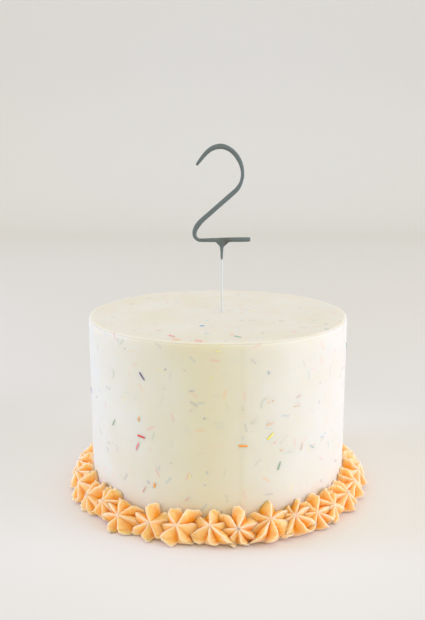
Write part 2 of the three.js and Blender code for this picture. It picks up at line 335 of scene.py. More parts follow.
def noise(tree, place, scale, detail=2.0, roughness=0.5):
    return add_node(tree, "ShaderNodeTexNoise", {
        "Vector": place, "Scale": scale, "Detail": detail, "Roughness": roughness,
    }).outputs["Fac"]


def attribute(tree, name, output="Fac"):
    return add_node(tree, "ShaderNodeAttribute", attribute_name=name).outputs[output]


def build_cream_group():
    """Whipped cream's surface: fine air bubbles, soft swells, and patches a little richer."""
    tree, enters, leaves = new_group(
        "whipped cream", "ShaderNodeTree",
        [
            ("Place", "NodeSocketVector", None),
            ("Bubble size", "NodeSocketFloat", 1.0),
            ("Swell size", "NodeSocketFloat", 9.0),
        ],
        [("Height", "NodeSocketFloat"), ("Richness", "NodeSocketFloat")],
    )
    place = enters.outputs["Place"]
    fine = calc(tree, "DIVIDE", 1 / MM, enters.outputs["Bubble size"])
    broad = calc(tree, "DIVIDE", 1 / MM, enters.outputs["Swell size"])
    grain = noise(tree, place, fine, 4.0, 0.6)
    swell = noise(tree, place, broad, 2.0)
    height = calc(tree, "ADD", calc(tree, "MULTIPLY", grain, 0.45), swell)
    richness = add_node(tree, "ShaderNodeMapRange", {
        "Value": noise(tree, place, calc(tree, "MULTIPLY", broad, 0.6), 3.0),
        "From Min": 0.35, "From Max": 0.7,
    }).outputs["Result"]
    join_up(tree, leaves.inputs["Height"], height)
    join_up(tree, leaves.inputs["Richness"], richness)
    return tree


def build_veil_group():
    """A colour seen through a film of icing: clear at 0, hidden at 1."""
    tree, enters, leaves = new_group(
        "icing film", "ShaderNodeTree",
        [
            ("Colour", "NodeSocketColor", None),
            ("Icing", "NodeSocketColor", ICING),
            ("Film", "NodeSocketFloat", 0.0),
        ],
        [("Colour", "NodeSocketColor")],
    )
    seen = mix_colours(tree, enters.outputs["Film"], enters.outputs["Colour"], enters.outputs["Icing"])
    join_up(tree, leaves.inputs["Colour"], seen)
    return tree


def bump(tree, height, strength, distance):
    return add_node(tree, "ShaderNodeBump", {
        "Height": height, "Strength": strength, "Distance": distance * MM,
    }).outputs["Normal"]


def build_unwrap_group():
    """The cake's skin laid flat: round and up the side, or straight across the top."""
    tree, enters, leaves = new_group(
        "skin laid flat", "ShaderNodeTree",
        [("Place", "NodeSocketVector", None)],
        [
            ("Flat", "NodeSocketVector"),
            ("Away from seam", "NodeSocketFloat"),
            ("On side", "NodeSocketFloat"),
        ],
    )
    split = add_node(tree, "ShaderNodeSeparateXYZ", {0: enters.outputs["Place"]})
    x, y, z = split.outputs[:3]
    backwards = calc(tree, "MULTIPLY", y, -1.0)
    turn = calc(tree, "ARCTAN2", x, backwards)
    reach = hypotenuse(tree, x, y)
    on_top = calc(tree, "LESS_THAN", reach, (CAKE_RADIUS - EDGE_ROUNDING) * MM)
    side = add_node(tree, "ShaderNodeCombineXYZ", {
        "X": calc(tree, "MULTIPLY", turn, CAKE_RADIUS), "Y": calc(tree, "DIVIDE", z, MM),
    }).outputs[0]
    top = add_node(tree, "ShaderNodeCombineXYZ", {
        "X": calc(tree, "DIVIDE", x, MM), "Y": calc(tree, "DIVIDE", y, MM),
    }).outputs[0]
    flat = add_node(tree, "ShaderNodeMix", data_type="VECTOR")
    for index, value in ((0, on_top), (4, side), (5, top)):
        join_up(tree, flat.inputs[index], value)
    seam = calc(tree, "SUBTRACT", math.pi, calc(tree, "ABSOLUTE", turn))
    clear = calc(tree, "MAXIMUM", on_top, calc(tree, "GREATER_THAN", seam, SEAM_HALF_WIDTH / CAKE_RADIUS))
    join_up(tree, leaves.inputs["Flat"], flat.outputs[1])
    join_up(tree, leaves.inputs["Away from seam"], clear)
    join_up(tree, leaves.inputs["On side"], calc(tree, "SUBTRACT", 1.0, on_top))
    return tree


def build_buried_group(unwrap):
    """Sprinkles that lie wholly under the icing: soft streaks, each its own way, hue and depth."""
    tree, enters, leaves = new_group(
        "buried sprinkles", "ShaderNodeTree",
        [
            ("Place", "NodeSocketVector", None),
            ("Spacing", "NodeSocketFloat", 13.0),
            ("Half length", "NodeSocketFloat", 2.0),
            ("Half width", "NodeSocketFloat", 0.55),
            ("Blur", "NodeSocketFloat", 0.6),
            ("Share hidden", "NodeSocketFloat", 0.3),
            ("Shift", "NodeSocketFloat", 0.0),
        ],
        [("Colour", "NodeSocketColor"), ("Strength", "NodeSocketFloat")],
    )
    laid_flat = use_group(tree, unwrap, {"Place": enters.outputs["Place"]})
    flat = calc(tree, "ADD", laid_flat.outputs["Flat"], enters.outputs["Shift"], kind="ShaderNodeVectorMath")
    cells = add_node(tree, "ShaderNodeTexVoronoi", {
        "Vector": flat, "Scale": calc(tree, "DIVIDE", 1.0, enters.outputs["Spacing"]), "Randomness": 0.9,
    }, voronoi_dimensions="2D")
    lots = add_node(tree, "ShaderNodeSeparateColor", {0: cells.outputs["Color"]})
    from_middle = calc(tree, "SUBTRACT", flat, cells.outputs["Position"], kind="ShaderNodeVectorMath")
    across = add_node(tree, "ShaderNodeSeparateXYZ", {0: from_middle})
    turn = calc(tree, "MULTIPLY", lots.outputs[0], math.pi)
    sine, cosine = calc(tree, "SINE", turn), calc(tree, "COSINE", turn)
    x, y = across.outputs[0], across.outputs[1]
    along = calc(tree, "MULTIPLY_ADD", x, cosine, calc(tree, "MULTIPLY", y, sine))
    aside = calc(tree, "SUBTRACT", calc(tree, "MULTIPLY", y, cosine), calc(tree, "MULTIPLY", x, sine))
    over = calc(tree, "MAXIMUM", 0.0, calc(
        tree, "SUBTRACT", calc(tree, "ABSOLUTE", along), enters.outputs["Half length"]
    ))
    away = hypotenuse(tree, over, aside)
    edge = calc(tree, "ADD", enters.outputs["Half width"], enters.outputs["Blur"])
    core = calc(tree, "SUBTRACT", enters.outputs["Half width"], enters.outputs["Blur"])
    mask = fade(tree, away, edge, core)
    shown = fade(tree, lots.outputs[2], enters.outputs["Share hidden"], 1.0, "LINEAR")
    strength = calc(tree, "MULTIPLY", mask, calc(tree, "POWER", shown, 1.4))
    strength = calc(tree, "MULTIPLY", strength, laid_flat.outputs["Away from seam"])
    ramp = add_node(tree, "ShaderNodeValToRGB", {"Fac": lots.outputs[1]})
    ramp.color_ramp.interpolation = "CONSTANT"
    hues = [SPRINKLE_COLOURS[name] for name in BURIED_HUES]
    stops = ramp.color_ramp.elements
    stops[0].color = hues[0]
    stops[1].position, stops[1].color = 1 / len(hues), hues[1]
    for i, hue in list(enumerate(hues))[2:]:
        stops.new(i / len(hues)).color = hue
    join_up(tree, leaves.inputs["Colour"], ramp.outputs["Color"])
    join_up(tree, leaves.inputs["Strength"], strength)
    return tree


# Painted shade: a yellower, darker patch of icing on the front of the side, where the light between the two
# side lamps is weakest: where it is deepest round the side, and how far from there it fades out, in mm
PAINTED_SHADE_MIDDLE = -4.0
PAINTED_SHADE_REACH = 26.0
# Painted shade: the top is painted a little darker than the side, and the rim between them darker still, to
# take off light they catch, by how far each faces up
PLAIN_TINT = linear(255, 255, 255)
TOP_PAINTED_SHADE = linear(251, 249, 254)
RIM_PAINTED_SHADE = linear(234, 233, 239)
RIM_UPWARD = 0.55
RIM_REACH = 0.42
TOP_STARTS_UPWARD = 0.75
TOP_WHOLE_UPWARD = 0.98


def make_icing(cream, veil, buried, unwrap):
    material, tree, surface, place = new_material("ivory_buttercream")
    whipped = use_group(tree, cream, {"Place": place, "Bubble size": 1.4, "Swell size": 16.0})
    streaks_place = add_node(tree, "ShaderNodeMapping", {
        "Vector": place, "Scale": (6.0, 6.0, 420.0),
    }).outputs["Vector"]
    streaks = noise(tree, streaks_place, 1.0, 3.0, 0.6)
    laid_flat = use_group(tree, unwrap, {"Place": place})
    round_side = add_node(tree, "ShaderNodeSeparateXYZ", {0: laid_flat.outputs["Flat"]}).outputs[0]
    # Painted shade: the front of the side is mixed towards a yellower, darker icing, fading out round the side
    from_painted_shade = calc(tree, "ABSOLUTE", calc(tree, "SUBTRACT", round_side, PAINTED_SHADE_MIDDLE))
    front_painted_shade = fade(tree, from_painted_shade, PAINTED_SHADE_REACH, 0.0)
    front_painted_shade = calc(tree, "MULTIPLY", front_painted_shade, laid_flat.outputs["On side"])
    colour = mix_colours(tree, whipped.outputs["Richness"], ICING, ICING_SHADE)
    colour = mix_colours(tree, front_painted_shade, colour, ICING_PAINTED_SHADE)
    # Painted shade on the top and its rim, chosen by how far the surface faces up
    upward = add_node(tree, "ShaderNodeSeparateXYZ", {
        0: add_node(tree, "ShaderNodeNewGeometry").outputs["Normal"],
    }).outputs["Z"]
    on_top = fade(tree, upward, TOP_STARTS_UPWARD, TOP_WHOLE_UPWARD)
    from_rim = calc(tree, "ABSOLUTE", calc(tree, "SUBTRACT", upward, RIM_UPWARD))
    rim_shade_share = fade(tree, from_rim, RIM_REACH, 0.0)
    top_and_rim_shade = mix_colours(tree, on_top, PLAIN_TINT, TOP_PAINTED_SHADE)
    top_and_rim_shade = mix_colours(tree, rim_shade_share, top_and_rim_shade, RIM_PAINTED_SHADE)
    colour = calc(tree, "MULTIPLY", colour, top_and_rim_shade, kind="ShaderNodeVectorMath")
    height = calc(tree, "MULTIPLY_ADD", streaks, 0.5, whipped.outputs["Height"])
    for settings, deepest in BURIED_LAYERS:
        layer = use_group(tree, buried, {"Place": place, **settings})
        strength = calc(tree, "MULTIPLY", layer.outputs["Strength"], deepest)
        seen = use_group(tree, veil, {
            "Colour": layer.outputs["Colour"], "Icing": colour,
            "Film": calc(tree, "SUBTRACT", 1.0, strength),
        })
        colour = seen.outputs["Colour"]
        height = calc(tree, "MULTIPLY_ADD", strength, 0.8, height)
    fill(tree, surface, {
        "Base Color": colour,
        "Normal": bump(tree, height, 0.35, 0.12),
        "Roughness": 0.5,
        "Subsurface Weight": 0.8,
        "Subsurface Radius": (1.0, 0.8, 0.55),
        "Subsurface Scale": 5 * MM,
        "Specular IOR Level": 0.35,
    })
    return material


def make_piping(cream):
    material, tree, surface, place = new_material("peach_buttercream")
    whipped = use_group(tree, cream, {"Place": place, "Bubble size": 0.7, "Swell size": 5.0})
    # Painted shade: the further a point lies below its crest, the more it takes the deeper valley orange
    valley_shade = fade(tree, attribute(tree, "depth"), 0.6, 4.2, "LINEAR")
    face = mix_colours(tree, whipped.outputs["Richness"], PIPING_FACE, PIPING_RICH)
    shaded = mix_colours(tree, valley_shade, face, PIPING_VALLEY_SHADE)
    # Painted highlight on the crests and painted light on the torn ends, by the star's edge values
    painted_highlight = calc(tree, "MULTIPLY", attribute(tree, "edge"), 0.85)
    highlighted = mix_colours(tree, painted_highlight, shaded, PIPING_PAINTED_LIGHT)
    fill(tree, surface, {
        "Base Color": highlighted,
        "Normal": bump(tree, whipped.outputs["Height"], 0.4, 0.15),
        "Roughness": 0.5,
        "Subsurface Weight": 1.0,
        "Subsurface Radius": (1.0, 0.92, 0.8),
        "Subsurface Scale": 3.6 * MM,
        "Specular IOR Level": 0.4,
    })
    return material


def make_sprinkle(name, colour, veil):
    material, tree, surface, place = new_material(f"sugar_{name}")
    seen = use_group(tree, veil, {
        "Colour": colour, "Icing": ICING, "Film": attribute(tree, "film"),
    })
    join_up(tree, surface.inputs["Base Color"], seen.outputs["Colour"])
    waxy = noise(tree, place, 2.2 / MM, 2.0)
    fill(tree, surface, {
        "Normal": bump(tree, waxy, 0.25, 0.08),
        "Roughness": 0.4,
        "Subsurface Weight": 0.15,
        "Subsurface Scale": 0.6 * MM,
    })
    return material


def make_coat():
    material, tree, surface, place = new_material("grey_coat")
    grains = noise(tree, place, 1.6 / MM, 4.0, 0.65)
    patches = noise(tree, place, 0.14 / MM, 2.0)
    shade = calc(tree, "ADD", calc(tree, "MULTIPLY", grains, 0.5), calc(tree, "MULTIPLY", patches, 0.6))
    from_join = add_node(tree, "ShaderNodeVectorMath", {
        0: place, 1: tuple(upright([SMEAR_PLACE])[0] * MM),
    }, operation="DISTANCE")
    smeared = fade(tree, from_join.outputs["Value"], 5.5 * MM, 0.5 * MM)
    grey = mix_colours(tree, shade, COAT_DARK, COAT)
    fill(tree, surface, {
        "Base Color": mix_colours(tree, smeared, grey, COAT_BROWN),
        "Normal": bump(tree, grains, 0.6, 0.2),
        "Roughness": 0.75,
    })
    return material


def make_wire_metal():
    material, tree, surface, place = new_material("pale_wire")
    drawn = add_node(tree, "ShaderNodeMapping", {
        "Vector": place, "Scale": (5000.0, 5000.0, 120.0),
    }).outputs["Vector"]
    marks = noise(tree, drawn, 1.0, 3.0)
    join_up(tree, surface.inputs["Base Color"], mix_colours(tree, marks, WIRE, WIRE_BRIGHT))
    roughness = calc(tree, "ADD", calc(tree, "MULTIPLY", marks, 0.2), 0.25)
    fill(tree, surface, {
        "Roughness": roughness,
        "Metallic": 0.25,
    })
    return material


def make_stage_paint():
    material, tree, surface, place = new_material("pale_paint")
    depth = add_node(tree, "ShaderNodeSeparateXYZ", {0: place}).outputs["Y"]
    behind = fade(tree, depth, BACKDROP_FADES[0], BACKDROP_FADES[1])
    # Painted light on the floor round the cake, fading out away from the middle
    from_middle = add_node(tree, "ShaderNodeVectorMath", {0: place}, operation="LENGTH").outputs["Value"]
    outward = fade(tree, from_middle, PAINTED_LIGHT_FADES[0], PAINTED_LIGHT_FADES[1])
    floor = mix_colours(tree, outward, FLOOR_PAINTED_LIGHT, FLOOR)
    fill(tree, surface, {
        "Base Color": mix_colours(tree, behind, floor, BACKDROP),
        "Roughness": 0.7,
        "Specular IOR Level": 0.2,
    })
    return material


# The uneven drum

def wrapped(angle):
    """An angle in degrees brought between -180 and 180."""
    return (np.asarray(angle, float) + 180) % 360 - 180


def smooth_step(low, high, value):
    share = np.clip((np.asarray(value, float) - low) / (high - low), 0, 1)
    return share * share * (3 - 2 * share)


# Where the scraper left a mark down the side: azimuth, the ridge's height and its half width
SCRAPER_RIDGES = [(29.0, 0.22, 9.0), (-58.0, 0.18, 12.0), (104.0, 0.2, 10.0), (-140.0, 0.25, 14.0)]
SCRAPER_STOP = 9.6
SCRAPER_STEP = 0.2


def side_swell(azimuth, height):
    """How far the side stands out from a true cylinder."""
    turn = np.radians(azimuth)
    swell = 0.1 * np.sin(3 * turn + 0.03 * height + 1) + 0.07 * np.sin(7 * turn - 0.05 * height)
    swell = swell + 0.05 * np.sin(0.13 * height + 2 * turn) + 0.03 * np.sin(13 * turn + 0.09 * height)
    for middle, rise, width in SCRAPER_RIDGES:
        swell = swell + rise * np.clip(1 - np.abs(wrapped(azimuth - middle)) / width, 0, 1)
    past = wrapped(azimuth - SCRAPER_STOP)
    step = smooth_step(-0.9, 0.9, past) * (1 - smooth_step(10, 60, past))
    dip = smooth_step(-14, -1, past) * (1 - smooth_step(-0.9, 0.9, past))
    return swell + SCRAPER_STEP * (step - 0.4 * dip)


def top_swell(x, y):
    """How far the top stands out from a true plane."""
    radius = np.hypot(x, y)
    turn = np.arctan2(x, -y)
    swell = 0.12 * np.sin(0.06 * x + 0.5) * np.cos(0.05 * y) + 0.05 * np.sin(0.2 * radius + 2 * turn)
    swell = swell + 0.25 * smooth_step(62, 76, radius) * (0.5 + 0.5 * np.sin(5 * turn + 0.7))
    poked = np.hypot(x - WIRE_X, y - NUMERAL_Y)
    return swell + 0.35 * np.exp(-((poked - 1.6) / 0.9) ** 2)


def drum_profile():
    """Rows of radius, height and how much each belongs to the top, from the foot to the middle."""
    rows = [(radius, 0.0, 0.0) for radius in (0.01, 40.0, CAKE_RADIUS - 0.2)]
    rows += [(CAKE_RADIUS, height, 0.0) for height in np.arange(0.4, CAKE_HEIGHT - EDGE_ROUNDING, 1.2)]
    for angle in np.linspace(0, 90, 7):
        turn = math.radians(angle)
        radius = CAKE_RADIUS - EDGE_ROUNDING * (1 - math.cos(turn))
        height = CAKE_HEIGHT - EDGE_ROUNDING * (1 - math.sin(turn))
        rows.append((radius, height, angle / 90))
    last = CAKE_RADIUS - EDGE_ROUNDING
    rows += [(last * (1 - share) + 0.01, CAKE_HEIGHT, 1.0) for share in np.linspace(0.02, 1, 46)]
    return rows


def ring_faces(rings, sides):
    """Quads between rings of points that close on themselves, facing outwards as they rise."""
    faces = []
    for ring in range(rings - 1):
        for side in range(sides):
            after = (side + 1) % sides
            low, high = ring * sides, (ring + 1) * sides
            faces.append((low + side, low + after, high + after, high + side))
    return faces


def make_drum(material):
    azimuths = np.arange(DRUM_SIDES) * 360 / DRUM_SIDES
    turn = np.radians(azimuths)
    points = []
    for radius, height, on_top in drum_profile():
        x = radius * np.sin(turn)
        y = -radius * np.cos(turn)
        out = side_swell(azimuths, height) * (1 - on_top) * smooth_step(0, 3, height)
        lift = top_swell(x, y) * on_top
        rise = np.full(DRUM_SIDES, height) + lift
        points.append(np.stack([x + out * np.sin(turn), y - out * np.cos(turn), rise], 1))
    rings = len(points)
    faces = ring_faces(rings, DRUM_SIDES)
    faces.append(tuple(reversed(range(DRUM_SIDES))))
    faces.append(tuple(range((rings - 1) * DRUM_SIDES, rings * DRUM_SIDES)))
    drum = mesh_object("icing_drum", np.concatenate(points), faces)
    shade_smooth(drum)
    drum.data.materials.append(material)
    finish_piece(drum, "icing", "cake")
    return drum


# The sprinkles

# The boldest ones at the front: azimuth, height, slant, colour and the film of icing over it
BOLD_ON_SIDE = [
    (-31, 89, -51, "violet", 0.1),
    (-32, 54, -6, "red", 0.0),
    (-34, 48, 66, "pink", 0.22),
    (-48, 57, 57, "green", 0.34),
    (10, 53, -4, "orange", 0.0),
    (14, 100, -41, "slate", 0.7),
    (14, 66, 22, "slate", 0.8),
    (21, 57, 43, "yellow", 0.08),
    (21, 64, 8, "orange", 0.45),
    (25, 39, 70, "green", 0.3),
    (33, 72, 1, "orange", 0.55),
    (42, 45, -30, "green", 0.58),
]
# And those on the top: x, y, slant, colour and film
BOLD_ON_TOP = [
    (-25, -63, -45, "red", 0.2),
    (-22, -71, -13, "orange", 0.2),
    (-10, -74, -26, "pink", 0.22),
    (11, -64, -41, "green", 0.18),
    (49, -41, -19, "pink", 0.7),
]
# Short and end-on ones that barely break the icing: azimuth, height, slant, length, colour and film
SUNK_IN_SIDE = [
    (-33, 64, 87, 3.2, "orange", 0.17),
    (-26, 27, 90, 2.8, "orange", 0.0),
    (-31, 23, 62, 5.0, "red", 0.47),
    (-29, 28, -30, 2.6, "blue", 0.57),
    (-24, 38, -83, 3.0, "blue", 0.69),
    (-12, 22, 43, 4.0, "red", 0.53),
    (-11, 35, 87, 2.2, "yellow", 0.27),
    (-4, 38, -69, 2.4, "slate", 0.53),
    (-5, 69, 67, 1.5, "violet", 0.47),
    (-10, 73, 1, 3.4, "pink", 0.65),
    (-10, 84, 3, 3.2, "slate", 0.55),
    (0, 106, 6, 3.0, "yellow", 0.37),
    (10, 74, 74, 1.8, "orange", 0.62),
    (20, 93, 90, 2.2, "blue", 0.42),
    (22, 77, 90, 1.5, "orange", 0.47),
    (23, 53, 85, 1.8, "pink", 0.63),
    (26, 48, -5, 2.2, "orange", 0.42),
    (34, 77, 22, 4.0, "red", 0.63),
    (36, 47, 72, 5.0, "orange", 0.49),
    (38, 16, 38, 4.0, "blue", 0.69),
    (46, 70, 79, 2.6, "violet", 0.71),
    (49, 47, 35, 4.4, "orange", 0.65),
    (49, 21, 90, 2.2, "orange", 0.63),
    (-54, 38, -43, 3.4, "blue", 0.69),
    (-60, 98, 84, 2.2, "pink", 0.67),
]
SUNK_IN_TOP = [
    (-33, -49, 10, 3.0, "red", 0.45),
    (-9, -38, 20, 3.0, "blue", 0.0),
    (-6, -56, -15, 3.4, "blue", 0.42),
    (8, -58, -50, 3.2, "orange", 0.27),
    (38, -25, -20, 3.6, "slate", 0.5),
    (62, -46, 30, 3.6, "green", 0.35),
    (73, -26, 0, 2.4, "green", 0.55),
]
COLOUR_NAMES = list(SPRINKLE_COLOURS)
# Round the front to this azimuth and on the top, all but the bold ones are well faded
FADED_WITHIN = 75
CLEAREST_IN_FRONT = 0.11
CLEAREST_BEHIND = 0.85
MOST_FILM = 0.965
FILM_BIAS = 1.6
LOOKS_SEED = 4021
# How much the film thickens along a sprinkle: the bold ones, the sunk ones and the others
BOLD_SLOPE = 0.2
SUNK_SLOPE = 0.1
OTHER_SLOPES = (0.1, 0.4)


def on_side(azimuth, height):
    """A point of the side, with the way out of it and the way along it."""
    turn = math.radians(azimuth)
    out = np.array([math.sin(turn), -math.cos(turn), 0.0])
    along = np.array([math.cos(turn), math.sin(turn), 0.0])
    return out * (CAKE_RADIUS + float(side_swell(azimuth, height))) + [0, 0, height], out, along


def on_top(x, y):
    place = np.array([x, y, CAKE_HEIGHT + float(top_swell(x, y))])
    return place, np.array([0.0, 0.0, 1.0]), np.array([1.0, 0.0, 0.0])


def laid(place, out, along, slant, length, colour, film, buried):
    """One sprinkle: where it lies, the way it points and how its icing film runs along it."""
    turn = math.radians(slant)
    across = np.cross(out, along)
    heading = math.cos(turn) * along + math.sin(turn) * across
    return {
        "place": place, "out": out, "heading": heading, "length": length,
        "colour": colour, "film": film, "buried": buried,
    }


def scatter_sprinkles():
    """The same sprinkles as the part's, each with a colour and a film of icing over it."""
    draws = Draws(SPRINKLE_SEED)
    looks = Draws(LOOKS_SEED)
    margin = SPRINKLE_LENGTHS[1] / 2 + CAD_EDGE_ROUNDING
    side_area = 2 * math.pi * CAKE_RADIUS * (CAKE_HEIGHT - LOWEST_SPRINKLE)
    top_area = math.pi * CAKE_RADIUS ** 2
    sprinkles = []
    taken = [np.array([WIRE_X, NUMERAL_Y, CAKE_HEIGHT])]

    def true_place(azimuth, height):
        turn = math.radians(azimuth)
        return np.array([CAKE_RADIUS * math.sin(turn), -CAKE_RADIUS * math.cos(turn), height])

    for azimuth, height, slant, colour, film in BOLD_ON_SIDE:
        taken.append(true_place(azimuth, height))
        sprinkles.append(laid(*on_side(azimuth, height), slant, BOLD_LENGTH, colour, film, BOLD_SLOPE))
    for x, y, slant, colour, film in BOLD_ON_TOP:
        taken.append(np.array([x, y, CAKE_HEIGHT]))
        sprinkles.append(laid(*on_top(x, y), slant, BOLD_LENGTH, colour, film, BOLD_SLOPE))
    while len(sprinkles) < SPRINKLE_COUNT:
        sideways = draws.next() < side_area / (side_area + top_area)
        slant = draws.between(-90, 90)
        length = draws.between(*SPRINKLE_LENGTHS)
        azimuth = draws.between(-180, 180)
        height = draws.between(LOWEST_SPRINKLE, CAKE_HEIGHT - margin)
        radius = (CAKE_RADIUS - margin) * math.sqrt(draws.next())
        x = radius * math.sin(math.radians(azimuth))
        y = -radius * math.cos(math.radians(azimuth))
        spot = true_place(azimuth, height) if sideways else np.array([x, y, CAKE_HEIGHT])
        if all(np.linalg.norm(other - spot) > SPRINKLE_SPACING for other in taken):
            taken.append(spot)
            where = on_side(azimuth, height) if sideways else on_top(x, y)
            colour = COLOUR_NAMES[int(looks.next() * len(COLOUR_NAMES))]
            clearest = CLEAREST_BEHIND if sideways and abs(azimuth) > FADED_WITHIN else CLEAREST_IN_FRONT
            film = MOST_FILM - clearest * looks.next() ** FILM_BIAS
            sprinkles.append(laid(*where, slant, length, colour, film, looks.between(*OTHER_SLOPES)))
    for azimuth, height, slant, length, colour, film in SUNK_IN_SIDE:
        sprinkles.append(laid(*on_side(azimuth, height), slant, length, colour, film, SUNK_SLOPE))
    for x, y, slant, length, colour, film in SUNK_IN_TOP:
        sprinkles.append(laid(*on_top(x, y), slant, length, colour, film, SUNK_SLOPE))
    return sprinkles


def build_rod_tree():
    """A round-ended rod on each point, pointing its own way, with the film along its length."""
    tree, enters, leaves = new_group(
        "sprinkle rods", "GeometryNodeTree",
        [
            ("Geometry", "NodeSocketGeometry", None),
            ("Rod radius", "NodeSocketFloat", SPRINKLE_RADIUS * MM),
            ("Rod sides", "NodeSocketInt", 10),
            ("Edge softness", "NodeSocketFloat", 1.8),
            ("Finish", "NodeSocketMaterial", None),
        ],
        [("Geometry", "NodeSocketGeometry")],
    )

    def named(name, kind):
        return add_node(tree, "GeometryNodeInputNamedAttribute", {"Name": name}, data_type=kind)

    line = add_node(tree, "GeometryNodeCurvePrimitiveLine", {
        "Start": (0, 0, -0.5), "End": (0, 0, 0.5),
    })
    stepped = add_node(tree, "GeometryNodeResampleCurve", {
        "Curve": line.outputs[0], "Count": 9,
    })
    share = add_node(tree, "GeometryNodeSplineParameter").outputs["Factor"]
    from_end = calc(tree, "MINIMUM", share, calc(tree, "SUBTRACT", 1.0, share))
    rounding = calc(tree, "MINIMUM", calc(tree, "MULTIPLY_ADD", from_end, 5.0, 0.45), 1.0)
    girth = calc(tree, "MULTIPLY", rounding, enters.outputs["Rod radius"])
    kept = add_node(tree, "GeometryNodeStoreNamedAttribute", {
        "Geometry": stepped.outputs[0], "Name": "share", "Value": share,
    }, data_type="FLOAT", domain="POINT")
    ring = add_node(tree, "GeometryNodeCurvePrimitiveCircle", {
        "Resolution": enters.outputs["Rod sides"], "Radius": 1.0,
    })
    rod = add_node(tree, "GeometryNodeCurveToMesh", {
        "Curve": kept.outputs[0], "Profile Curve": ring.outputs[0], "Fill Caps": True,
    })
    if "Scale" in rod.inputs:
        join_up(tree, rod.inputs["Scale"], girth)
    turned = add_node(tree, "FunctionNodeAxesToRotation", {
        0: named("heading", "FLOAT_VECTOR").outputs[0], 1: named("out", "FLOAT_VECTOR").outputs[0],
    }, primary_axis="Z", secondary_axis="X")
    stretch = add_node(tree, "ShaderNodeCombineXYZ", {
        "X": 1.0, "Y": 1.0, "Z": named("length", "FLOAT").outputs[0],
    })
    placed = add_node(tree, "GeometryNodeInstanceOnPoints", {
        "Points": enters.outputs["Geometry"], "Instance": rod.outputs[0],
        "Rotation": turned.outputs[0], "Scale": stretch.outputs[0],
    })
    whole = add_node(tree, "GeometryNodeRealizeInstances", {0: placed.outputs[0]})
    run = calc(tree, "SUBTRACT", named("share", "FLOAT").outputs[0], 0.5)
    depth = named("film", "FLOAT").outputs[0]
    film = calc(tree, "MULTIPLY_ADD", run, named("buried", "FLOAT").outputs[0], depth)
    facing = add_node(tree, "ShaderNodeVectorMath", {
        0: add_node(tree, "GeometryNodeInputNormal").outputs[0],
        1: named("out", "FLOAT_VECTOR").outputs[0],
    }, operation="DOT_PRODUCT").outputs["Value"]
    softness = calc(tree, "MULTIPLY_ADD", depth, enters.outputs["Edge softness"], 0.3)
    film = calc(tree, "MULTIPLY_ADD", calc(tree, "SUBTRACT", 1.0, facing), softness, film)
    filmed = add_node(tree, "GeometryNodeStoreNamedAttribute", {
        "Geometry": whole.outputs[0], "Name": "film", "Value": film,
    }, data_type="FLOAT", domain="POINT")
    smooth = add_node(tree, "GeometryNodeSetShadeSmooth", {0: filmed.outputs[0]})
    finished = add_node(tree, "GeometryNodeSetMaterial", {
        "Geometry": smooth.outputs[0], "Material": enters.outputs["Finish"],
    })
    join_up(tree, leaves.inputs[0], finished.outputs[0])
    return tree


# How far a sprinkle's middle lies under the icing, and how much deeper where all is film
SPRINKLE_DEPTH = 0.12
SUNK_DEEPER = 0.42


def make_sprinkles(sprinkles, materials):
    tree = build_rod_tree()
    for colour, material in materials.items():
        chosen = [s for s in sprinkles if s["colour"] == colour]
        places = [s["place"] - s["out"] * (SPRINKLE_DEPTH + SUNK_DEEPER * s["film"]) for s in chosen]
        thing = mesh_object(f"sprinkles_{colour}", places)
        store(thing, "heading", [s["heading"] for s in chosen], "FLOAT_VECTOR")
        store(thing, "out", [s["out"] for s in chosen], "FLOAT_VECTOR")
        store(thing, "length", [s["length"] * MM for s in chosen])
        store(thing, "film", [s["film"] for s in chosen])
        store(thing, "buried", [s["buried"] for s in chosen])
        grow(thing, tree, {"Finish": material})
        finish_piece(thing, f"sprinkle_{colour}", "cake")


# The piped stars

def other_stars():
    """The stars behind the front ones, evenly spread, with six or seven petals drawn by lot."""
    draws = Draws(STAR_SEED)
    others = STAR_COUNT - len(FRONT_STARS)
    last = FRONT_STARS[-1][0]
    gap = 360 - (last - FRONT_STARS[0][0])
    stars = []
    for i in range(others):
        azimuth = last + gap * (i + 1) / (others + 1) + draws.vary(0.8)
        tilt = OTHER_TILT + draws.vary(TILT_VARIES)
        twist = 360 * draws.next()
        count = 6 + int(draws.next() + 0.5)
        petals = []
        for petal in range(count):
            angle = twist + 360 / count * petal + draws.vary(9)
            climb = max(0.0, math.sin(math.radians(angle)))
            reach = OTHER_REACH + draws.vary(REACH_VARIES) + REACH_UP_WALL * climb
            petals.append((angle, reach, -1 if draws.next() < 0.5 else 1))
        stars.append((azimuth, tilt, petals))
    return stars


def petals_of(petals):
    """Each petal with its spans to the valleys after and before it, wider on its broader side."""
    count = len(petals)
    fans = []
    for i, (angle, reach, broad) in enumerate(petals):
        next_angle, next_reach, next_broad = petals[(i + 1) % count]
        last_angle, _, last_broad = petals[i - 1]
        after = (next_angle - angle) % 360 * (0.5 + PETAL_LEAN * (broad + next_broad))
        before = (angle - last_angle) % 360 * (0.5 - PETAL_LEAN * (broad + last_broad))
        fans.append({
            "angle": angle, "reach": reach, "broad": broad, "after": after,
            "cell": (next_angle - angle) % 360, "valley_reach": (reach + next_reach) / 2,
            "curl": PETAL_CURL * (after if broad > 0 else -before),
        })
    return fans


def eased(column, steps=400):
    """A smooth curve through one column of the star's rings, by the share of the petal's span."""
    stops = [ring[0] for ring in STAR_RINGS]
    places = np.linspace(0, stops[-1], steps)
    values = np.interp(places, stops, [ring[column] for ring in STAR_RINGS])
    kernel = np.hanning(27)[1:-1]
    curve = np.convolve(np.pad(values, 12, mode="edge"), kernel / kernel.sum(), mode="valid")
    return lambda along: np.interp(along, places, curve)


crest_at = eased(1)
valley_share_at = eased(2)

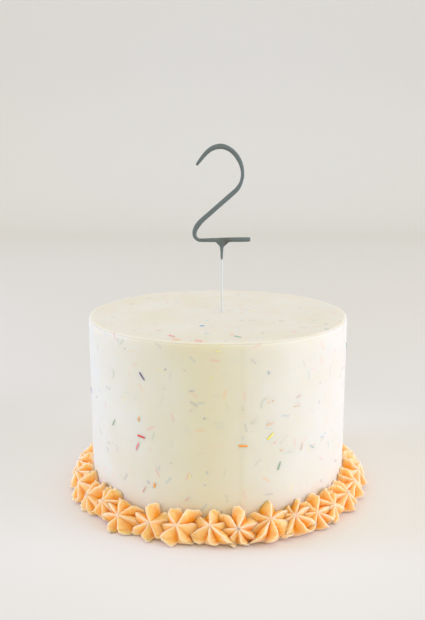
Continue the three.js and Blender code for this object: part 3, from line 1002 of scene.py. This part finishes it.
# How straight a petal's side falls from its crest: steep on the narrow side, full on the broad
NARROW_FALL = 0.95
BROAD_FALL = 0.34
FULLNESS = 2.0
FLANK_STEPS = 11
EDGE_WIDTH = 0.65
LIP_HEIGHT = 0.2
# How far the longest tip flicks up as the nozzle leaves it, and the painted light on the torn ends: how
# strongly they are painted paler to lift the shade under them, and where along the petal it starts and is
# whole
FLICK = 1.3
TORN_PAINTED_LIGHT = 0.8
TORN_FROM = 0.78
TORN_WHOLE = 1.05


def star_mesh(tilt, petals, number):
    """The points of one star before it is turned into place, and at each of them how much painted highlight
    and painted shade it takes.
    """
    draws = Draws(900 + 37 * number)
    fans = petals_of(petals)
    along = np.concatenate([
        np.linspace(0.02, 0.5, 20), np.linspace(0.52, 1.16, 34), np.linspace(1.2, 1.5, 8),
    ])
    opened = smooth_step(0, 0.6, along)
    curled = smooth_step(0.65, 1.1, along)
    ends = smooth_step(0.5, 0.8, along)
    # Painted light: the torn ends are painted paler, to lift the shade on their undersides
    torn_painted_light = TORN_PAINTED_LIGHT * smooth_step(TORN_FROM, TORN_WHOLE, along)
    steps = (np.linspace(0, 1, FLANK_STEPS + 1)[:-1]) ** 1.25
    for fan in fans:
        phase = [draws.between(0, 6.3) for _ in range(6)]
        wander = 2.2 * np.sin(along * 5 + phase[0]) + 1.2 * np.sin(along * 14 + phase[1])
        ragged = 0.3 * np.sin(along * 29 + phase[2]) + 0.2 * np.sin(along * 51 + phase[3])
        fan["around"] = fan["angle"] + fan["curl"] * curled + wander * opened
        flick = FLICK * draws.between(0, 1) * np.exp(-((along - 1) / 0.13) ** 2)
        fan["distance"] = crest_at(along) * (1 + (fan["reach"] - 1) * opened) + ragged * ends + flick
        fan["valley_around"] = fan["angle"] + fan["after"] + 1.5 * np.sin(along * 6 + phase[4])
        fan["valley"] = crest_at(along) * valley_share_at(along) * (1 + (fan["valley_reach"] - 1) * opened)
    columns = {"around": [], "distance": [], "edge": [], "depth": []}
    for i, fan in enumerate(fans):
        following = dict(fans[(i + 1) % len(fans)])
        following["around"] = following["around"] + fan["angle"] + fan["cell"] - following["angle"]
        sides = ((fan, fan["broad"] > 0, steps), (following, following["broad"] < 0, 1 - steps))
        for crest, broad, shares in sides:
            fall = BROAD_FALL if broad else NARROW_FALL
            for share in shares:
                kept = 1 - fall * share - (1 - fall) * share ** FULLNESS
                around = crest["around"] + (fan["valley_around"] - crest["around"]) * share
                rise = (crest["distance"] - fan["valley"]) * kept
                turned = np.radians(np.abs(around - crest["around"]))
                away = turned * np.sin(np.radians(70 * np.minimum(along, 1.2))) * 13
                # Painted highlight along each crest, where the cream catches the light
                edge = np.exp(-(away / EDGE_WIDTH) ** 2) * np.ones_like(along)
                columns["around"].append(around)
                columns["distance"].append(fan["valley"] + rise + LIP_HEIGHT * edge * opened)
                columns["edge"].append(np.maximum(edge, torn_painted_light))
                # How far below the crest this point lies, which sets the painted shade in the valleys
                columns["depth"].append(crest["distance"] - fan["valley"] - rise)
    around = np.array(columns["around"]).T
    distance = np.array(columns["distance"]).T
    turn = np.radians(around)
    polar = np.radians(along[:, None] * (PETAL_SPAN + PETAL_SIDE_SPAN * np.cos(turn) ** 4))
    lean = math.radians(tilt)
    axis = np.array([0, -math.cos(lean), math.sin(lean)])
    uphill = np.array([0, math.sin(lean), math.cos(lean)])
    points = (
        np.array([0, -CAKE_RADIUS, 0])
        + axis * (STAR_LIFT + distance * np.cos(polar))[..., None]
        + np.array([1.0, 0, 0]) * (distance * np.sin(polar) * np.cos(turn))[..., None]
        + uphill * (distance * np.sin(polar) * np.sin(turn))[..., None]
    )
    return points, np.array(columns["edge"]).T, np.array(columns["depth"]).T


def build_piping_tree():
    """Roughens piped cream, then rests it on the surface below and against the cake's side."""
    tree, enters, leaves = new_group(
        "piped cream", "GeometryNodeTree",
        [
            ("Geometry", "NodeSocketGeometry", None),
            ("Grain size", "NodeSocketFloat", 1.1 * MM),
            ("Grain height", "NodeSocketFloat", 0.3 * MM),
            ("Lump size", "NodeSocketFloat", 4.5 * MM),
            ("Lump height", "NodeSocketFloat", 1.1 * MM),
            ("Wall radius", "NodeSocketFloat", (CAKE_RADIUS - 0.4) * MM),
            ("Foot softness", "NodeSocketFloat", 1.2 * MM),
            ("Finish", "NodeSocketMaterial", None),
        ],
        [("Geometry", "NodeSocketGeometry")],
    )
    place = add_node(tree, "GeometryNodeInputPosition").outputs[0]
    normal = add_node(tree, "GeometryNodeInputNormal").outputs[0]

    def swell(size, height):
        grain = noise(tree, place, calc(tree, "DIVIDE", 1.0, enters.outputs[size]), 2.0)
        return calc(tree, "MULTIPLY", calc(tree, "SUBTRACT", grain, 0.5), enters.outputs[height])

    rise = calc(tree, "ADD", swell("Grain size", "Grain height"), swell("Lump size", "Lump height"))
    offset = calc(tree, "SCALE", normal, kind="ShaderNodeVectorMath")
    join_up(tree, offset.node.inputs["Scale"], rise)
    rough = add_node(tree, "GeometryNodeSetPosition", {
        "Geometry": enters.outputs["Geometry"], "Offset": offset,
    })
    split = add_node(tree, "ShaderNodeSeparateXYZ", {0: place})
    flat = add_node(tree, "ShaderNodeCombineXYZ", {"X": split.outputs[0], "Y": split.outputs[1]})
    reach = add_node(tree, "ShaderNodeVectorMath", {0: flat.outputs[0]}, operation="LENGTH")
    push = calc(
        tree, "MAXIMUM", 1.0, calc(tree, "DIVIDE", enters.outputs["Wall radius"], reach.outputs["Value"])
    )
    height = split.outputs[2]
    softness = calc(tree, "POWER", enters.outputs["Foot softness"], 2.0)
    bent = calc(tree, "SQRT", calc(tree, "MULTIPLY_ADD", height, height, softness))
    rested = calc(tree, "MULTIPLY", calc(tree, "ADD", height, bent), 0.5)
    pressed = add_node(tree, "ShaderNodeCombineXYZ", {
        "X": calc(tree, "MULTIPLY", split.outputs[0], push),
        "Y": calc(tree, "MULTIPLY", split.outputs[1], push),
        "Z": rested,
    })
    settled = add_node(tree, "GeometryNodeSetPosition", {
        "Geometry": rough.outputs[0], "Position": pressed.outputs[0],
    })
    whole = add_node(tree, "GeometryNodeRealizeInstances", {0: settled.outputs[0]})
    finished = add_node(tree, "GeometryNodeSetMaterial", {
        "Geometry": whole.outputs[0], "Material": enters.outputs["Finish"],
    })
    join_up(tree, leaves.inputs[0], finished.outputs[0])
    return tree


def make_stars(material):
    tree = build_piping_tree()
    for number, (azimuth, tilt, petals) in enumerate(FRONT_STARS + other_stars(), 1):
        points, edge, depth = star_mesh(tilt, petals, number)
        turn = math.radians(azimuth)
        spin = np.array([
            [math.cos(turn), -math.sin(turn), 0], [math.sin(turn), math.cos(turn), 0], [0, 0, 1],
        ])
        rings, sides = edge.shape
        faces = [tuple(reversed(face)) for face in ring_faces(rings, sides)]
        faces.append(tuple(range(sides)))
        faces.append(tuple(reversed(range((rings - 1) * sides, rings * sides))))
        thing = mesh_object(f"star_{number:02d}", points.reshape(-1, 3) @ spin.T, faces)
        store(thing, "edge", edge)
        store(thing, "depth", depth)
        shade_smooth(thing)
        grow(thing, tree, {"Finish": material})
        finish_piece(thing, "piping", f"piped_star_{number:02d}")


# The numeral and its wire

STROKE_WIDTHS = [
    (0, 0.65), (0.03, 1.05), (0.1, 1.35), (0.15, 1.6), (0.2, 1.4), (0.26, 1.35), (0.32, 1),
    (0.37, 1), (0.4, 1.25), (0.46, 1.45), (0.54, 1.4), (0.62, 1.45), (0.67, 1.6), (0.7, 1.35),
    (0.74, 1), (0.8, 1.15), (0.9, 1.4), (1, 1.35),
]
# The coat's round ends, as the distance past the line's end and the share of its girth
ROUND_END = [(0.2, 0.9), (0.4, 0.66), (0.5, 0.35)]
# What the melting of its tubes takes off the coat
SKIN_LOSS = 0.14


def bend_to(start, heading, place, arrival):
    """A bend that leaves a place along one heading and reaches the next along another."""
    start, place = np.array(start, float), np.array(place, float)
    first, second = start + heading, place - np.array(arrival)
    t = np.linspace(0, 1, 80)[:, None]
    return (1 - t) ** 3 * start + 3 * (1 - t) ** 2 * t * first + 3 * (1 - t) * t ** 2 * second + t ** 3 * place


def numeral_line(step=0.5):
    """The numeral's centreline, evenly spaced: hook, bowl, diagonal, tight bend and foot."""
    slope = np.subtract(DIAGONAL_FOOT, DIAGONAL_TOP)
    slope = slope / np.linalg.norm(slope)
    bend = np.radians(np.linspace(180, 270, 20))
    corner = np.add(BEND_TOP, [BEND_RADIUS, 0])
    parts = [
        bend_to(HOOK_TIP, [4.7, 6.2], CROWN, [6.5, 0]),
        bend_to(CROWN, [6.8, 0], BOWL_SIDE, [0, -8.4]),
        bend_to(BOWL_SIDE, [0, -4.5], DIAGONAL_TOP, 3 * slope),
        np.linspace(DIAGONAL_TOP, DIAGONAL_FOOT, 60),
        bend_to(DIAGONAL_FOOT, 3.5 * slope, BEND_TOP, [0, -3.5]),
        corner + BEND_RADIUS * np.stack([np.cos(bend), np.sin(bend)], 1),
        np.linspace([corner[0], FOOT_HEIGHT], FOOT_END, 60),
    ]
    line = np.concatenate([parts[0]] + [part[1:] for part in parts[1:]])
    run = np.concatenate([[0], np.cumsum(np.linalg.norm(np.diff(line, axis=0), axis=1))])
    even = np.linspace(0, run[-1], int(run[-1] / step))
    flat = np.stack([np.interp(even, run, line[:, 0]), np.interp(even, run, line[:, 1])], 1)
    return flat, even / run[-1]


def upright(flat):
    """Points of the numeral's plane in space."""
    flat = np.asarray(flat, float)
    return np.stack([flat[:, 0], np.full(len(flat), NUMERAL_Y), CAKE_HEIGHT + flat[:, 1]], 1)


def build_tube_group():
    """A round tube along each line of edges, as thick as the line's own girth says."""
    tree, enters, leaves = new_group(
        "tube along a line", "GeometryNodeTree",
        [("Geometry", "NodeSocketGeometry", None), ("Sides", "NodeSocketInt", 20)],
        [("Geometry", "NodeSocketGeometry")],
    )
    line = add_node(tree, "GeometryNodeMeshToCurve", {0: enters.outputs["Geometry"]})
    girth = add_node(tree, "GeometryNodeInputNamedAttribute", {"Name": "girth"}, data_type="FLOAT")
    ring = add_node(tree, "GeometryNodeCurvePrimitiveCircle", {
        "Resolution": enters.outputs["Sides"], "Radius": 1.0,
    })
    sized = add_node(tree, "GeometryNodeSetCurveRadius", {
        "Curve": line.outputs[0], "Radius": girth.outputs[0],
    })
    tube = add_node(tree, "GeometryNodeCurveToMesh", {
        "Curve": sized.outputs[0], "Profile Curve": ring.outputs[0], "Fill Caps": True,
    })
    if "Scale" in tube.inputs:
        join_up(tree, tube.inputs["Scale"], girth.outputs[0])
    join_up(tree, leaves.inputs[0], tube.outputs[0])
    return tree


def build_coat_tree(tube_group):
    """Tubes melted into one skin and given the coat's coarse grain."""
    tree, enters, leaves = new_group(
        "coated wire", "GeometryNodeTree",
        [
            ("Geometry", "NodeSocketGeometry", None),
            ("Skin step", "NodeSocketFloat", 0.22 * MM),
            ("Grain size", "NodeSocketFloat", 0.8 * MM),
            ("Grain height", "NodeSocketFloat", 0.22 * MM),
            ("Finish", "NodeSocketMaterial", None),
        ],
        [("Geometry", "NodeSocketGeometry")],
    )
    tubes = use_group(tree, tube_group, {"Geometry": enters.outputs["Geometry"]})
    melted = add_node(tree, "GeometryNodeMeshToVolume", {
        "Mesh": tubes.outputs[0], "Voxel Size": enters.outputs["Skin step"],
        "Interior Band Width": 0.6 * MM,
    }, resolution_mode="VOXEL_SIZE")
    skin = add_node(tree, "GeometryNodeVolumeToMesh", {
        "Volume": melted.outputs[0], "Voxel Size": enters.outputs["Skin step"], "Threshold": 0.12,
    }, resolution_mode="VOXEL_SIZE")
    place = add_node(tree, "GeometryNodeInputPosition").outputs[0]
    blurred = add_node(tree, "GeometryNodeBlurAttribute", {
        "Value": place, "Iterations": 5,
    }, data_type="FLOAT_VECTOR")
    even = add_node(tree, "GeometryNodeSetPosition", {
        "Geometry": skin.outputs[0], "Position": blurred.outputs[0],
    })
    grain = noise(tree, place, calc(tree, "DIVIDE", 1.0, enters.outputs["Grain size"]), 3.0)
    rise = calc(tree, "MULTIPLY", calc(tree, "SUBTRACT", grain, 0.5), enters.outputs["Grain height"])
    normal = add_node(tree, "GeometryNodeInputNormal").outputs[0]
    offset = calc(tree, "SCALE", normal, kind="ShaderNodeVectorMath")
    join_up(tree, offset.node.inputs["Scale"], rise)
    rough = add_node(tree, "GeometryNodeSetPosition", {"Geometry": even.outputs[0], "Offset": offset})
    whole = add_node(tree, "GeometryNodeRealizeInstances", {0: rough.outputs[0]})
    smooth = add_node(tree, "GeometryNodeSetShadeSmooth", {0: whole.outputs[0]})
    finished = add_node(tree, "GeometryNodeSetMaterial", {
        "Geometry": smooth.outputs[0], "Material": enters.outputs["Finish"],
    })
    join_up(tree, leaves.inputs[0], finished.outputs[0])
    return tree


def build_wire_tree(tube_group):
    tree, enters, leaves = new_group(
        "bare wire", "GeometryNodeTree",
        [("Geometry", "NodeSocketGeometry", None), ("Finish", "NodeSocketMaterial", None)],
        [("Geometry", "NodeSocketGeometry")],
    )
    tube = use_group(tree, tube_group, {"Geometry": enters.outputs["Geometry"], "Sides": 24})
    whole = add_node(tree, "GeometryNodeRealizeInstances", {0: tube.outputs[0]})
    smooth = add_node(tree, "GeometryNodeSetShadeSmooth", {0: whole.outputs[0]})
    finished = add_node(tree, "GeometryNodeSetMaterial", {
        "Geometry": smooth.outputs[0], "Material": enters.outputs["Finish"],
    })
    join_up(tree, leaves.inputs[0], finished.outputs[0])
    return tree


# The coat down the wire, by height and radius, and the web that joins it to the foot: where each
# strand meets the foot, its height and its radius at either end
SLEEVE = [(33.2, 0.56), (35, 0.68), (38, 0.78), (40, 0.9), (41.5, 1.15), (43, 1.6), (44.5, 1.9), (45.6, 1.6)]
WEB_START = 41.4
WEB = [(-0.8, 45.2, 0.8), (1.0, 44.9, 1.3), (4.0, 44.9, 1.5), (6.4, 45.1, 1.0)]
# Where the coat was smeared brown beside the wire
SMEAR_PLACE = (5.0, 45.0)


def run_of(stops, count):
    """Evenly spaced values along a short list of places and radii."""
    places = np.linspace(stops[0][0], stops[-1][0], count)
    return places, np.interp(places, [stop[0] for stop in stops], [stop[1] for stop in stops])


def lines_object(name, lines):
    """Several lines of points with their girths, as one mesh of edges."""
    points, girths, edges = [], [], []
    for line, girth in lines:
        first = len(points)
        points.extend(line)
        girths.extend(girth)
        edges.extend((first + i, first + i + 1) for i in range(len(line) - 1))
    thing = mesh_object(name, points, edges=edges)
    store(thing, "girth", np.array(girths) * MM)
    return thing


def make_numeral(tube_group, material):
    flat, share = numeral_line()
    stops, widths = zip(*STROKE_WIDTHS)
    girth = np.interp(share, stops, widths)
    flat, girth = flat[1:-1], girth[1:-1]
    for last, inner in ((0, 1), (-1, -2)):
        ahead = flat[last] - flat[inner]
        ahead = ahead / np.linalg.norm(ahead)
        tips = [flat[last] + ahead * past * girth[last] for past, _ in ROUND_END]
        girths = [girth[last] * kept for _, kept in ROUND_END]
        if last == 0:
            flat, girth = np.concatenate([tips[::-1], flat]), np.concatenate([girths[::-1], girth])
        else:
            flat, girth = np.concatenate([flat, tips]), np.concatenate([girth, girths])
    heights, sleeve_girth = run_of(SLEEVE, 26)
    sleeve = np.stack([np.full(26, WIRE_X), heights], 1)
    lines = [(upright(flat), girth + SKIN_LOSS), (upright(sleeve), sleeve_girth + SKIN_LOSS)]
    for x, height, radius in WEB:
        along = np.linspace(0, 1, 12)[:, None]
        strand = (1 - along) * [WIRE_X, WEB_START] + along * [x, height]
        lines.append((upright(strand), 0.7 + (radius - 0.7) * along[:, 0]))
    thing = lines_object("numeral_coat", lines)
    grow(thing, build_coat_tree(tube_group), {"Finish": material})
    finish_piece(thing, "topper_coat", "numeral")


def make_wire(tube_group, material):
    heights = np.linspace(-WIRE_SUNK, COAT_END + 6, 60)
    line = upright(np.stack([np.full(60, WIRE_X), heights], 1))
    thing = lines_object("topper_stem", [(line, np.full(60, WIRE_RADIUS))])
    grow(thing, build_wire_tree(tube_group), {"Finish": material})
    finish_piece(thing, "topper_wire", "wire")


# The stage, lights and camera

CAMERA_DISTANCE = 460.7
CAMERA_HEIGHT = 207.2
CAMERA_PITCH = 11.72
CAMERA_YAW = -0.4
CAMERA_ROLL = -0.09
FOCAL_PIXELS = 750.0
FRAME_PIXELS = 620.0
SENSOR = 36.0


def make_camera():
    pitch, yaw, roll = (math.radians(a) for a in (CAMERA_PITCH, CAMERA_YAW, CAMERA_ROLL))
    ahead = np.array([
        math.sin(yaw) * math.cos(pitch), math.cos(yaw) * math.cos(pitch), -math.sin(pitch),
    ])
    level = np.array([math.cos(yaw), -math.sin(yaw), 0.0])
    above = np.cross(level, ahead)
    right = math.cos(roll) * level + math.sin(roll) * above
    up = math.cos(roll) * above - math.sin(roll) * level
    data = bpy.data.cameras.new("camera")
    data.sensor_width = SENSOR
    data.lens = FOCAL_PIXELS / FRAME_PIXELS * SENSOR
    data.clip_start = 0.01
    camera = bpy.data.objects.new("camera", data)
    bpy.context.scene.collection.objects.link(camera)
    turned = Matrix((right, up, -ahead)).transposed().to_4x4()
    place = Matrix.Translation((0, -CAMERA_DISTANCE * MM, CAMERA_HEIGHT * MM))
    camera.matrix_world = place @ turned
    bpy.context.scene.camera = camera


def make_light(name, place, size, power, colour, target=(0, 0, 0.05)):
    data = bpy.data.lights.new(name, "AREA")
    data.shape = "DISK"
    data.size = size
    data.energy = power
    data.color = colour
    light = bpy.data.objects.new(name, data)
    bpy.context.scene.collection.objects.link(light)
    back = (Matrix.Translation(place).translation - Matrix.Translation(target).translation).normalized()
    light.rotation_euler = back.to_track_quat("Z", "Y").to_euler()
    light.location = place
    light.visible_camera = False


def make_stage(material):
    """A pale floor that curves up into a backdrop."""
    half, front, bend, height = 2500, -2500, 500, 2200
    start = 1500
    profile = [(front, 0), (start, 0)]
    for angle in np.linspace(0, 90, 13)[1:]:
        turn = math.radians(angle)
        profile.append((start + bend * math.sin(turn), bend * (1 - math.cos(turn))))
    profile.append((start + bend, height))
    points = [(x, y, z) for y, z in profile for x in (-half, half)]
    faces = [(2 * i, 2 * i + 1, 2 * i + 3, 2 * i + 2) for i in range(len(profile) - 1)]
    stage = mesh_object("stage", points, faces)
    shade_smooth(stage)
    stage.data.materials.append(material)


def make_world():
    scene = bpy.context.scene
    scene.view_settings.view_transform = "Standard"
    world = bpy.data.worlds.new("studio")
    scene.world = world
    world.use_nodes = True
    sky = world.node_tree.nodes["Background"]
    sky.inputs["Color"].default_value = (0.81, 0.79, 0.64, 1.0)
    sky.inputs["Strength"].default_value = 1.21


make_camera()
make_world()
make_light("right window", (1.1, -0.28, 0.36), 0.9, 11.1, (0.51, 0.555, 0.93))
make_light("left window", (-1.14, 0.02, 0.42), 0.6, 9.1, (0.34, 0.445, 0.93))
make_stage(make_stage_paint())

cream_group = build_cream_group()
veil_group = build_veil_group()
unwrap_group = build_unwrap_group()
icing = make_icing(cream_group, veil_group, build_buried_group(unwrap_group), unwrap_group)
make_drum(icing)
make_sprinkles(scatter_sprinkles(), {
    name: make_sprinkle(name, colour, veil_group) for name, colour in SPRINKLE_COLOURS.items()
})
make_stars(make_piping(cream_group))
tube = build_tube_group()
make_numeral(tube, make_coat())
make_wire(tube, make_wire_metal())
